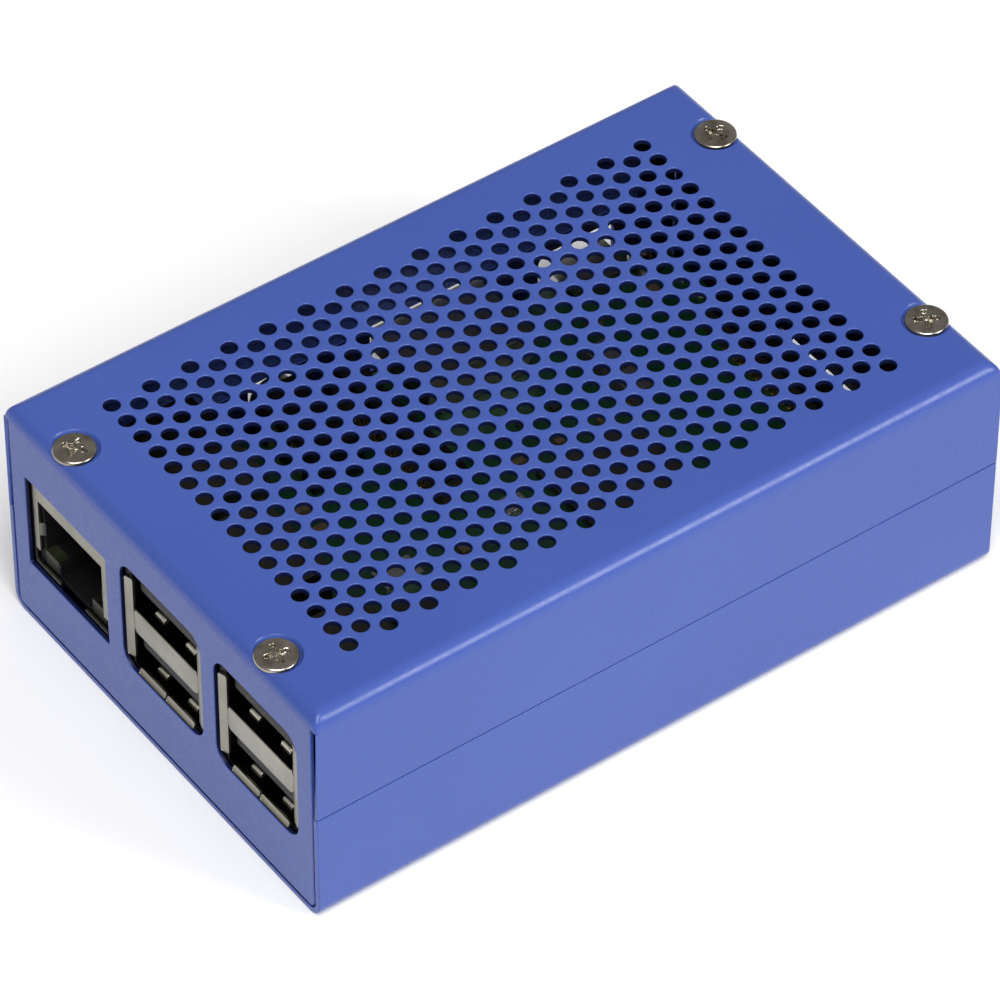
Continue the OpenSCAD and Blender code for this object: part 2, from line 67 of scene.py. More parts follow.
cover_low, cover_high = low_high("top_cover")
tray_top = low_high("bottom_tray")[1][2]
board_top = low_high("circuit_board")[1][2]
HALF_L, HALF_W, CASE_H = cover_high
SHEET = 0.7
END_SHEET = 0.5
FOLD_R = 2.0
PANEL_GAP = 0.3
PANEL_LOW = cover_low[2]
SEAM_GAP = 0.2
FLANGE_LOW = tray_top + SEAM_GAP
PANEL_Y = HALF_W - SHEET - PANEL_GAP
SCREW_X, SCREW_Y = 43.9, 19.25
SEAT_DEPTH = 0.5
# BEHIND_PORTS, AIR_FIELD and PORT_FIELD bound where painted shade is put on the tin and on the blue
# paint
BEHIND_PORTS = 43.6
AIR_FIELD = (39.0, 24.6)
PORT_FIELD = (27.6, 26.0)
# near black blue, painted shade for the inside of the case, the walls of the air holes and the walls of
# the port cuts
PAINTED_SHADE_BLUE = (0.006, 0.010, 0.050)


# ---------------------------------------------------------------- mesh tools


def add_piece(name, points, faces, body, finish, replaces=(), smooth=35):
    """A closed mesh from points in millimetres and a list of face arrays, riding on a CAD body."""
    mesh = bpy.data.meshes.new(name)
    loops = [tuple(int(i) for i in f) for block in faces for f in block]
    mesh.from_pydata((np.asarray(points, float) * MM).tolist(), [], loops)
    bm = bmesh.new()
    bm.from_mesh(mesh)
    bmesh.ops.remove_doubles(bm, verts=bm.verts, dist=2e-7)
    bmesh.ops.dissolve_degenerate(bm, edges=bm.edges, dist=1e-7)
    bmesh.ops.recalc_face_normals(bm, faces=bm.faces)
    bm.to_mesh(mesh)
    bm.free()
    mesh.polygons.foreach_set("use_smooth", np.ones(len(mesh.polygons), bool))
    mesh.set_sharp_from_angle(angle=math.radians(smooth))
    piece = bpy.data.objects.new(name, mesh)
    bpy.context.scene.collection.objects.link(piece)
    mesh.materials.append(finish)
    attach(piece, body)
    if replaces:
        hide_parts(*replaces)
    return piece


def even_normals(piece):
    """Keeps broad flat faces flat next to small rounded edges."""
    weigh = piece.modifiers.new("even_normals", "WEIGHTED_NORMAL")
    weigh.mode = "FACE_AREA"
    weigh.keep_sharp = True
    weigh.weight = 90


def circle(x, y, r, n=24, start=0.0):
    """Points round a circle, anticlockwise."""
    t = start + np.arange(n) * 2 * np.pi / n
    return np.stack([x + r * np.cos(t), y + r * np.sin(t)], 1)


def rounded_box(x, y, w, h, r, n=6):
    """Outline of a w by h rectangle round (x, y), its corners arcs of radius r in n steps."""
    t = np.linspace(0, np.pi / 2, n + 1)
    arc = np.stack([np.cos(t), np.sin(t)], 1) * r
    turned = [arc, arc[:, ::-1] * [-1, 1], -arc, arc[:, ::-1] * [1, -1]]
    middle = [(1, 1), (-1, 1), (-1, -1), (1, -1)]
    return np.concatenate(
        [a + np.array(m) * (w / 2 - r, h / 2 - r) + (x, y) for a, m in zip(turned, middle)]
    )


def inset(loop, d):
    """A closed loop moved to its left by d, corners mitred; a negative d moves it to its right."""
    ahead = np.roll(loop, -1, 0) - loop
    ahead /= np.linalg.norm(ahead, axis=1)[:, None]
    left = np.stack([-ahead[:, 1], ahead[:, 0]], 1)
    before = np.roll(left, 1, 0)
    corner = (left + before) / (1 + (left * before).sum(1))[:, None]
    return loop + d * corner


def flat_pattern(outline, cuts, lines, is_metal):
    """Triangles of a flat sheet: outline and cuts are closed loops, lines are extra open polylines.

    A Delaunay mesh of all of them is made, and triangles whose middle is not metal are dropped."""
    points, edges = [], []
    for loop in [outline, *cuts]:
        first = len(points)
        points += [Vector(p) for p in loop]
        edges += [(first + i, first + (i + 1) % len(loop)) for i in range(len(loop))]
    for line in lines:
        first = len(points)
        points += [Vector(p) for p in line]
        edges += [(first + i, first + i + 1) for i in range(len(line) - 1)]
    found = delaunay_2d_cdt(points, edges, [], 0, 1e-5)
    flat = np.array([tuple(p) for p in found[0]])
    faces = np.array([f for f in found[2]])
    return flat, faces[is_metal(flat[faces].mean(1))]


def thick_sheet(flat, faces, place, thickness, rim):
    """Gives a flat pattern its thickness and folds it up.

    place(points, depth) puts pattern points into space, depth below the outer skin. Along every
    free edge a strip follows a quarter circle of radius rim out and down, then drops straight."""
    edges = np.concatenate([faces[:, [0, 1]], faces[:, [1, 2]], faces[:, [2, 0]]])
    code = edges[:, 0] * len(flat) + edges[:, 1]
    back = edges[:, 1] * len(flat) + edges[:, 0]
    free = edges[~np.isin(code, back)]
    after = np.full(len(flat), -1)
    after[free[:, 0]] = free[:, 1]
    before = np.full(len(flat), -1)
    before[free[:, 1]] = free[:, 0]
    rim_points = np.unique(free)
    place_of = np.full(len(flat), -1)
    place_of[rim_points] = np.arange(len(rim_points))

    def right_of(a, b):
        d = flat[b] - flat[a]
        d /= np.linalg.norm(d, axis=1)[:, None]
        return np.stack([d[:, 1], -d[:, 0]], 1)

    n1 = right_of(before[rim_points], rim_points)
    n2 = right_of(rim_points, after[rim_points])
    out = (n1 + n2) / (1 + (n1 * n2).sum(1)).clip(0.3)[:, None]
    turn = np.linspace(0, np.pi / 2, 4)[1:]
    steps = [(rim * math.sin(a), rim * (1 - math.cos(a))) for a in turn] + [(rim, thickness)]
    layers = [place(flat, 0.0), place(flat, thickness)]
    for offset, depth in steps:
        layers.append(place(flat[rim_points] + offset * out, depth))
    start = np.cumsum([0] + [len(layer) for layer in layers])
    rows = [rim_points] + [start[k + 2] + np.arange(len(rim_points)) for k in range(len(steps))]
    rows.append(start[1] + rim_points)
    i, j = place_of[free[:, 0]], place_of[free[:, 1]]
    strips = [
        np.stack([above[j], above[i], below[i], below[j]], 1)
        for above, below in zip(rows[:-1], rows[1:])
    ]
    return np.concatenate(layers), [faces, faces[:, ::-1] + start[1], *strips]


# ---------------------------------------------------------------- finishes


def node_maker(tree):
    """A function that adds a node of a kind and sets its inputs or its properties."""

    def add(kind, **values):
        node = tree.nodes.new(kind)
        for key, value in values.items():
            if key in node.inputs:
                node.inputs[key].default_value = value
            else:
                setattr(node, key, value)
        return node

    return add


def speckle(where, add, link, scale, detail):
    """Noise on the piece's own coordinates, scale in grains per metre."""
    noise = add("ShaderNodeTexNoise", Scale=scale, Detail=detail, Roughness=0.5)
    link(where, noise.inputs["Vector"])
    return noise.outputs["Fac"]


def shift(value, add, link, low, high):
    """Maps noise, which lies mostly between 0.3 and 0.7, on to low to high."""
    node = add("ShaderNodeMapRange")
    for key, number in (("From Min", 0.3), ("From Max", 0.7), ("To Min", low), ("To Max", high)):
        node.inputs[key].default_value = number
    link(value, node.inputs["Value"])
    return node.outputs["Result"]


def surface(name, dark, light, rough, metal=0.0, grain=2000, cloud=60, bump=0.0, coat=0.0, ior=1.5):
    """A general finish: two close colours in soft clouds, roughness that wanders, a fine grain."""
    material = bpy.data.materials.new(name)
    material.use_nodes = True
    tree = material.node_tree
    add, link = node_maker(tree), tree.links.new
    shader = tree.nodes["Principled BSDF"]
    where = add("ShaderNodeTexCoord").outputs["Object"]
    clouds = speckle(where, add, link, cloud, 4.0)
    fine = speckle(where, add, link, grain, 2.0)
    mix = add("ShaderNodeMix", data_type="RGBA")
    mix.inputs["A"].default_value = (*dark, 1)
    mix.inputs["B"].default_value = (*light, 1)
    link(shift(clouds, add, link, 0, 1), mix.inputs["Factor"])
    link(mix.outputs["Result"], shader.inputs["Base Color"])
    link(shift(fine, add, link, rough * 0.85, rough * 1.15), shader.inputs["Roughness"])
    shader.inputs["Metallic"].default_value = metal
    shader.inputs["IOR"].default_value = ior
    shader.inputs["Coat Weight"].default_value = coat
    shader.inputs["Coat Roughness"].default_value = 0.2
    if bump:
        push = add("ShaderNodeBump", Strength=0.6, Distance=bump * MM)
        link(fine, push.inputs["Height"])
        link(push.outputs["Normal"], shader.inputs["Normal"])
    return material


def shade_tools(material):
    """The material's split Object coordinates, with functions for soft edges and colour mixes."""
    tree = material.node_tree
    add, link = node_maker(tree), tree.links.new
    split = add("ShaderNodeSeparateXYZ")
    link(tree.nodes["Texture Coordinate"].outputs["Object"], split.inputs[0])

    def over(value, low, high):
        """0 below low and 1 above high, in millimetres, with soft ends."""
        node = add("ShaderNodeMapRange", interpolation_type="SMOOTHSTEP")
        node.inputs["From Min"].default_value = low * MM
        node.inputs["From Max"].default_value = high * MM
        link(value, node.inputs["Value"])
        return node.outputs["Result"]

    def calculate(how, *values):
        """One value from two by a Math operation, or their running result when there are more."""
        node = add("ShaderNodeMath", operation=how)
        for socket, value in zip(node.inputs, values[:2]):
            if isinstance(value, float):
                socket.default_value = value
            else:
                link(value, socket)
        return calculate(how, node.outputs[0], *values[2:]) if len(values) > 2 else node.outputs[0]

    def blend(factor, a, b):
        """Colour a where factor is 0 and b where it is 1; each is a colour or a socket."""
        mix = add("ShaderNodeMix", data_type="RGBA")
        for key, colour in (("A", a), ("B", b)):
            if isinstance(colour, tuple):
                mix.inputs[key].default_value = (*colour, 1)
            else:
                link(colour, mix.inputs[key])
        link(factor, mix.inputs["Factor"])
        return mix.outputs["Result"]

    return split.outputs, over, calculate, blend


def base_colour(material, colour=None):
    """The socket that feeds a material's base colour, or with colour given, feeds it from that."""
    socket = material.node_tree.nodes["Principled BSDF"].inputs["Base Color"]
    if colour is None:
        return socket.links[0].from_socket
    material.node_tree.links.new(colour, socket)
    return colour


TIN_DARK, TIN_LIGHT = (0.27, 0.26, 0.22), (0.38, 0.365, 0.315)
# painted shade for tin inside the case: near black just behind the port faces, a dimmed tin further in
DIMMED_TIN_SHADE, PORT_SHADE = (0.13, 0.126, 0.112), (0.012, 0.012, 0.011)


def shaded_tin(name, front, depth, brightness=1.0, side=None):
    """Tin plate with painted shade: behind its front edge its colour sinks to near black, as painted
    shade inside a dark case.

    Further in, from BEHIND_PORTS on, it is a dimmed tin, painted shade that still shows as metal once
    the cover is off. The factor after depth scales the tin's colours: above 1 they stand in for a
    painted highlight, below 1 they are dimmed. With side given, its colour sinks as well past that Y,
    where the case shades it."""
    dark, light = np.array([TIN_DARK, TIN_LIGHT]) * brightness
    material = surface(name, tuple(dark), tuple(light), 0.36, 1.0, 900, 120, 0.01)
    place, over, calculate, blend = shade_tools(material)
    # painted shade: only the front edge keeps the tin colours, and behind it they are blended down
    bright = over(place["X"], front - depth, front)
    if side is not None:
        bright = calculate("MULTIPLY", bright, over(place["Y"], side - 0.1, side))
    deep = over(place["X"], BEHIND_PORTS - 0.8, BEHIND_PORTS)
    shade = blend(deep, DIMMED_TIN_SHADE, PORT_SHADE)
    base_colour(material, blend(bright, shade, base_colour(material)))
    return material


def case_paint(name, dark, light, skin, hole_top, cut_face):
    """Satin paint with painted shade: inside the case and on the walls of punched holes its colour is
    turned to a near black blue.

    skin is the half length, half width and height of the case's inner faces. Paint inside that
    block, under hole_top in the field of air holes or behind cut_face round the ports, gets this
    painted shade."""
    material = surface(name, dark, light, 0.29, 0.0, 1200, 25, 0.003, ior=1.4)
    place, over, calculate, blend = shade_tools(material)
    along = calculate("ABSOLUTE", place["X"])
    across = calculate("ABSOLUTE", place["Y"])
    height = place["Z"]

    def under(value, edge, soft=0.1):
        return calculate("SUBTRACT", 1.0, over(value, edge - soft, edge))

    over_floor = over(height, SHEET - 0.12, SHEET - 0.02)
    # each mask marks painted shade: walls for the inner wall faces, middle for the inner top and floor,
    # field for the air-hole walls, ports for the port-cut walls
    walls = calculate(
        "MULTIPLY",
        under(along, skin[0] + 0.12),
        under(across, skin[1] + 0.12),
        under(height, CASE_H - FOLD_R),
        over(height, FOLD_R, FOLD_R + 0.1),
    )
    middle = calculate(
        "MULTIPLY",
        under(along, HALF_L - FOLD_R),
        under(across, HALF_W - FOLD_R),
        under(height, skin[2] + 0.12),
        over_floor,
    )
    field = calculate(
        "MULTIPLY",
        under(along, AIR_FIELD[0]),
        under(across, AIR_FIELD[1]),
        under(height, hole_top, 0.16),
        over_floor,
    )
    ports = calculate(
        "MULTIPLY",
        under(across, PORT_FIELD[0]),
        under(height, PORT_FIELD[1]),
        under(along, cut_face),
        over_floor,
    )
    # painted shade: where any mask is set, the base colour is blended to the near black blue
    shade = calculate("MAXIMUM", walls, middle, field, ports)
    base_colour(material, blend(shade, base_colour(material), PAINTED_SHADE_BLUE))
    return material


blue_paint = case_paint(
    "satin_blue_paint",
    (0.045, 0.082, 0.325),
    (0.052, 0.093, 0.347),
    (HALF_L - END_SHEET, HALF_W - SHEET, CASE_H - SHEET),
    CASE_H - 0.06,
    HALF_L - 0.02,
)
tin = surface("tin_plate", TIN_DARK, TIN_LIGHT, 0.38, 1.0, 900, 120, 0.01)
# painted shade: the port and jack shells sink to near black behind their front faces, and the jack's
# left edge past y = -25.55 does too
port_tin = shaded_tin("port_tin", 46.1, 0.25)
jack_tin = shaded_tin("jack_tin", 45.75, 0.45, side=-25.55)
# painted highlight: the crests of the contact fingers get the tin colours 2.6 times brighter, with
# painted shade behind them
finger_tin_painted_glint = shaded_tin("finger_tin_painted_glint", 44.1, 0.4, 2.6)
# network tab tin: colours dimmed to 0.6, with painted shade behind its front edge
tab_tin = shaded_tin("tab_tin", 45.75, 0.7, 0.6)
nickel = surface(
    "nickel_plating", (0.24, 0.215, 0.175), (0.50, 0.46, 0.40), 0.24, 1.0, 1800, 600, 0.02
)
black = surface(
    "black_moulding", (0.005, 0.005, 0.006), (0.009, 0.009, 0.010), 0.5, 0.0, 2500, 90, 0.01,
    ior=1.25,
)
brown = surface(
    "dark_connector", (0.030, 0.026, 0.022), (0.045, 0.038, 0.032), 0.5, 0.0, 2500, 90, 0.01
)
grey = surface(
    "tongue_moulding", (0.008, 0.008, 0.010), (0.012, 0.012, 0.015), 0.55, 0.0, 2500, 90, 0.01
)
gold = surface("gold_flash", (0.75, 0.52, 0.20), (0.85, 0.62, 0.28), 0.25, 1.0, 900, 200)
green_mask = surface(
    "green_solder_mask", (0.004, 0.034, 0.015), (0.007, 0.052, 0.022), 0.35, 0.0, 900, 250,
    coat=0.4,
)
resin = surface("chip_resin", (0.014, 0.014, 0.016), (0.024, 0.024, 0.026), 0.55, 0.0, 4000, 150, 0.01)
ferrite = surface("ferrite", (0.04, 0.04, 0.045), (0.07, 0.07, 0.075), 0.6, 0.0, 4000, 200, 0.015)
ceramic = surface(
    "tan_ceramic", (0.08, 0.055, 0.032), (0.12, 0.085, 0.050), 0.5, 0.0, 4000, 400, 0.006
)
can = surface("drawn_can", (0.60, 0.60, 0.58), (0.68, 0.68, 0.66), 0.28, 1.0, 900, 150)
window = surface(
    "smoky_window", (0.006, 0.008, 0.004), (0.028, 0.033, 0.018), 0.3, 0.0, 900, 300, ior=1.3
)
lens = surface("light_lens", (0.55, 0.62, 0.45), (0.65, 0.70, 0.52), 0.2, 0.0, 900, 300, coat=0.5)
zinc = surface("zinc_plate", (0.50, 0.50, 0.50), (0.62, 0.62, 0.62), 0.35, 1.0, 900, 200)

FINISH_OF_SLOT = {
    "case_paint": blue_paint,
    "nickel_screw": nickel,
    "bright_steel": zinc,
    "tinned_shell": tin,
    "black_insert": black,
    "gold_contact": gold,
    "signal_window": window,
    "board_laminate": green_mask,
    "pale_plastic": brown,
    "dark_latch": black,
    "chip_resin": resin,
    "ferrite": ferrite,
    "capacitor_ceramic": ceramic,
    "crystal_can": can,
    "light_lens": lens,
}


# ---------------------------------------------------------------- top cover

RIM = 0.16
AIR_R = 1.0
AIR_PITCH = 3.0
AIR_ROWS = 29
AIR_PER_ROW = 16
AIR_SHIFT = 0.5
PANEL_END = HALF_L + CASE_H - FOLD_R - PANEL_LOW
FLANGE_END = HALF_W + CASE_H - FOLD_R - FLANGE_LOW
SCREW_HOLE_R = 1.4
SEAT_RINGS = (2.6, 2.69, 2.78, 2.86, 2.95)
# port cut-outs: Y, width, height and corner radius
PORT_CUTS = [(0.4, 15.5, 15.7, 2.2), (18.4, 15.5, 15.7, 2.2), (-18.2, 15.9, 13.25, 0.25)]
PORT_CUT_LOW = 9.2
# card slot: Y, width and height
CARD_CUT = (-0.5, 16.0, 7.55)


def fold_depth(d, r):
    """How far a quarter-round fold of radius r has dropped at distance d from its start."""
    return r - np.sqrt(np.clip(r * r - np.minimum(d, r) ** 2, 0, None))


def place_on_cover(flat, depth):
    """Folds the cover's pattern up.

    The pattern is the plan view of the top; past the long and short edges it runs on down the
    flanges and end panels. Both folds are quarter circles of one radius, and where they meet at
    a corner their distances join as an 8-norm, which leaves a softly rounded mitre. Round each
    screw the metal is pressed flat to SEAT_DEPTH below the top."""
    along, across = np.abs(flat[:, 0]), np.abs(flat[:, 1])
    dx = np.clip(along - (HALF_L - FOLD_R), 0, FOLD_R)
    dy = np.clip(across - (HALF_W - FOLD_R), 0, FOLD_R)
    s = np.clip((dx**8 + dy**8) ** 0.125, 1e-9, FOLD_R)
    normal = np.stack(
        [s * (dx / s).clip(0, 1) ** 7, s * (dy / s).clip(0, 1) ** 7, np.sqrt(FOLD_R**2 - s**2)], 1
    )
    normal[along > HALF_L] = (1, 0, 0)
    normal[across > HALF_W] = (0, 1, 0)
    normal /= np.linalg.norm(normal, axis=1)[:, None]
    drop = fold_depth(s, FOLD_R)
    drop = drop + (along - HALF_L).clip(0) + (across - HALF_W).clip(0)
    near = np.hypot(along - SCREW_X, across - SCREW_Y)
    pressed = np.clip((2.95 - near) / 0.35, 0, 1)
    pressed = SEAT_DEPTH * pressed**2 * (3 - 2 * pressed)
    drop = np.maximum(drop, np.where(along < HALF_L, pressed, 0))
    outer = np.stack([along.clip(0, HALF_L), across.clip(0, HALF_W), CASE_H - drop], 1)
    thinned = np.interp(along, [HALF_L - FOLD_R, HALF_L], [1, END_SHEET / SHEET])
    inner = outer - (depth * thinned)[:, None] * normal
    inner[:, 0] *= np.where(flat[:, 0] < 0, -1, 1)
    inner[:, 1] *= np.where(flat[:, 1] < 0, -1, 1)
    return inner


def air_centres():
    """Centres of the air holes: staggered rows, long and short by turns."""
    found = []
    for row in range(AIR_ROWS):
        n = AIR_PER_ROW - row % 2
        x = AIR_SHIFT + (row - (AIR_ROWS - 1) / 2) * AIR_PITCH * math.sqrt(3) / 2
        found += [(x, (i - (n - 1) / 2) * AIR_PITCH) for i in range(n)]
    return np.array(found)


def cover_outline():
    """Outline of the unfolded cover, a cross with the card slot cut into its rear arm."""
    t = np.linspace(0, np.pi / 2, 5)
    corner = np.stack([np.cos(t), np.sin(t)], 1)
    front = np.array([PANEL_END - 1, PANEL_Y - 1]) + corner
    y0, w, top = CARD_CUT
    reach = HALF_L + CASE_H - FOLD_R - top
    rear = np.array([-(PANEL_END - 1), PANEL_Y - 1]) + corner[::-1] * (-1, 1)
    loop = [
        *(front * (1, -1))[::-1],
        *front,
        (HALF_L, PANEL_Y),
        (HALF_L, FLANGE_END),
        (-HALF_L, FLANGE_END),
        (-HALF_L, PANEL_Y),
        *rear,
        (-PANEL_END, y0 + w / 2),
        (-reach, y0 + w / 2),
        (-reach, y0 - w / 2),
        (-PANEL_END, y0 - w / 2),
        *(rear * (1, -1))[::-1],
        (-HALF_L, -PANEL_Y),
        (-HALF_L, -FLANGE_END),
        (HALF_L, -FLANGE_END),
        (HALF_L, -PANEL_Y),
    ]
    return np.array(loop)


def make_cover():
    """The perforated cover with its end panels and flanges, from one flat pattern."""
    air = air_centres()
    cuts = [circle(x, y, AIR_R + RIM, 20) for x, y in air]
    port_boxes = []
    for y, w, h, r in PORT_CUTS:
        middle = HALF_L + CASE_H - FOLD_R - PORT_CUT_LOW - h / 2
        port_boxes.append((middle, y, h + 2 * RIM, w + 2 * RIM, r + RIM))
        cuts.append(rounded_box(middle, y, h + 2 * RIM, w + 2 * RIM, r + RIM))
    screws = [(sx * SCREW_X, sy * SCREW_Y) for sx in (-1, 1) for sy in (-1, 1)]
    cuts += [circle(x, y, SCREW_HOLE_R + RIM, 32) for x, y in screws]
    lines = []
    for a in np.radians(np.linspace(0, 90, 9)):
        x = HALF_L - FOLD_R + FOLD_R * math.sin(a)
        y = HALF_W - FOLD_R + FOLD_R * math.sin(a)
        span = HALF_W if x < HALF_L - RIM else PANEL_Y - RIM
        for s in (-1, 1):
            lines.append([(s * x, -span), (s * x, span)])
            lines.append([(-HALF_L + RIM, s * y), (HALF_L - RIM, s * y)])
    for x, y in screws:
        for r in SEAT_RINGS:
            ring = circle(x, y, r, 48)
            ring = np.concatenate([ring, ring[:1]])
            keep = np.abs(ring[:, 0]) < HALF_L - RIM - 0.02
            for a, b in zip(ring[:-1][keep[:-1] & keep[1:]], ring[1:][keep[:-1] & keep[1:]]):
                lines.append([a, b])

    def is_metal(p):
        along, across = np.abs(p[:, 0]), np.abs(p[:, 1])
        cross = (along < HALF_L - RIM) | (across < PANEL_Y - RIM)
        slot = (p[:, 0] < -(HALF_L + CASE_H - FOLD_R - CARD_CUT[2]) + RIM) & (
            np.abs(p[:, 1] - CARD_CUT[0]) < CARD_CUT[1] / 2 + RIM
        )
        metal = cross & ~slot
        for x, y, h, w, r in port_boxes:
            inside = (np.abs(p[:, 0] - x) < h / 2) & (np.abs(p[:, 1] - y) < w / 2)
            cx = (np.abs(p[:, 0] - x) - (h / 2 - r)).clip(0)
            cy = (np.abs(p[:, 1] - y) - (w / 2 - r)).clip(0)
            metal &= ~(inside & (np.hypot(cx, cy) < r * 0.99))
        gap = np.full(len(p), 9.0)
        for x, y in air:
            gap = np.minimum(gap, np.hypot(p[:, 0] - x, p[:, 1] - y))
        metal &= gap > (AIR_R + RIM) * 0.985
        for x, y in screws:
            metal &= np.hypot(p[:, 0] - x, p[:, 1] - y) > (SCREW_HOLE_R + RIM) * 0.99
        return metal

    flat, faces = flat_pattern(inset(cover_outline(), RIM), cuts, lines, is_metal)
    points, skins = thick_sheet(flat, faces, place_on_cover, SHEET, RIM)
    even_normals(
        add_piece("cover_sheet", points, skins, "cover", blue_paint, ["top_cover"])
    )


# ---------------------------------------------------------------- bottom tray

STANDOFFS = [(-38.75, -25.0), (19.25, -25.0), (-38.75, 24.0), (19.25, 24.0)]
STANDOFF_HOLE_R = 2.15
VIDEO_X, POWER_X, AUDIO_X = -10.25, -31.65, 11.25
VIDEO_HALF, AUDIO_R = 8, 3.4
POWER_W, POWER_H, POWER_R = 11, 6.4, 1.5
SCOOP_Y, SCOOP_R = -0.5, 6
TRAY_END = HALF_W + tray_top - FOLD_R


def place_on_tray(flat, depth):
    """Folds the tray's pattern up: floor in the middle, then a quarter circle, then a wall."""
    across = np.abs(flat[:, 1])
    dy = np.clip(across - (HALF_W - FOLD_R), 0, FOLD_R)
    rise = fold_depth(dy, FOLD_R) + (across - HALF_W).clip(0)
    ny = dy / FOLD_R
    nz = -np.sqrt(1 - ny**2)
    y = across.clip(0, HALF_W) - depth * ny
    z = rise - depth * nz
    return np.stack([flat[:, 0], y * np.where(flat[:, 1] < 0, -1, 1), z], 1)


def make_tray():
    """The tray: a U channel, with open notches for the sockets in its -Y wall."""
    up = -(HALF_W - FOLD_R)
    video_low, audio_mid, power_mid = board_top - 0.4, board_top + 3.05, board_top + 1.35
    top = -TRAY_END
    half_turn = np.linspace(0, np.pi, 13)
    audio_bowl = np.stack(
        [AUDIO_X + AUDIO_R * np.cos(half_turn), up - audio_mid + AUDIO_R * np.sin(half_turn)], 1
    )
    finger = np.linspace(-np.pi / 2, np.pi / 2, 17)
    scoop = np.stack(
        [-HALF_L + SCOOP_R * np.cos(finger), SCOOP_Y + SCOOP_R * np.sin(finger)], 1
    )[::-1]
    loop = np.array(
        [
            (HALF_L, top),
            (HALF_L, TRAY_END),
            (-HALF_L, TRAY_END),
            *scoop,
            (-HALF_L, top),
            (VIDEO_X - VIDEO_HALF, top),
            (VIDEO_X - VIDEO_HALF, up - video_low),
            (VIDEO_X + VIDEO_HALF, up - video_low),
            (VIDEO_X + VIDEO_HALF, top),
            (AUDIO_X - AUDIO_R, top),
            *audio_bowl[::-1],
            (AUDIO_X + AUDIO_R, top),
        ]
    )
    cuts = [circle(x, y, STANDOFF_HOLE_R + RIM, 28) for x, y in STANDOFFS]
    width, height = POWER_W + 2 * RIM, POWER_H + 2 * RIM
    cuts.append(rounded_box(POWER_X, up - power_mid, width, height, POWER_R + RIM))
    lines = []
    for a in np.radians(np.linspace(0, 90, 7)):
        y = HALF_W - FOLD_R + FOLD_R * math.sin(a)
        lines += [[(-HALF_L + RIM, s * y), (HALF_L - RIM, s * y)] for s in (-1, 1)]

    def is_metal(p):
        x, y = p[:, 0], p[:, 1]
        metal = (x > -HALF_L + RIM) & (np.hypot(x + HALF_L, y - SCOOP_Y) > SCOOP_R + RIM * 0.98)
        metal &= ~((np.abs(x - VIDEO_X) < VIDEO_HALF + RIM) & (y < up - video_low + RIM))
        metal &= ~((np.abs(x - AUDIO_X) < AUDIO_R + RIM) & (y < up - audio_mid))
        metal &= np.hypot(x - AUDIO_X, y - up + audio_mid) > (AUDIO_R + RIM) * 0.995
        cx = (np.abs(x - POWER_X) - (POWER_W / 2 - POWER_R)).clip(0)
        cy = (np.abs(y - up + power_mid) - (POWER_H / 2 - POWER_R)).clip(0)
        metal &= np.hypot(cx, cy) > (POWER_R + RIM) * 0.99
        for sx, sy in STANDOFFS:
            metal &= np.hypot(x - sx, y - sy) > (STANDOFF_HOLE_R + RIM) * 0.99
        return metal

    flat, faces = flat_pattern(inset(loop, RIM), cuts, lines, is_metal)
    points, skins = thick_sheet(flat, faces, place_on_tray, SHEET, RIM)
    even_normals(
        add_piece("tray_sheet", points, skins, "case", blue_paint, ["bottom_tray"])
    )


make_cover()
make_tray()

# ---------------------------------------------------------------- cover screws

SEAT_Z = CASE_H - SEAT_DEPTH
HEAD_R, HEAD_TOP, HEAD_EDGE = 2.5, SEAT_Z + 0.55, 0.3
THREAD_R, THREAD_LOW = 1.2, SEAT_Z - 3.9
DRIVER_REACH = 1.45
SCREW_TURNS = {(-1, -1): 20, (-1, 1): 62, (1, -1): 33, (1, 1): 78}


def cross_depth(x, y, turn):
    """Depth of the driver recess: a cross of two tapering grooves, deepest in the middle.

    Each groove's half width shrinks from 0.42 at the middle to 0.28 at its end 1.45 out, its walls
    lean over 0.1, and a slow wave in x and y dents the edges as a worn driver does."""
    c, s = math.cos(turn), math.sin(turn)
    along, across = c * x + s * y, c * y - s * x
    wave = 0.11 * np.sin(7.1 * x + 3.3 * turn) * np.sin(6.3 * y - 2.1 * turn)
    depth = np.zeros_like(x)
    for u, v in ((along, across), (across, along)):
        half = 0.42 - 0.10 * np.abs(u) + wave
        wall = np.clip((half - np.abs(v)) / 0.1 + 0.5, 0, 1)
        end = np.clip((DRIVER_REACH + wave - np.abs(u)) / 0.16 + 0.5, 0, 1)
        bottom = 0.72 - 0.3 * np.clip(np.abs(u) / DRIVER_REACH, 0, 1)
        depth = np.maximum(depth, bottom * wall * end)
    return depth


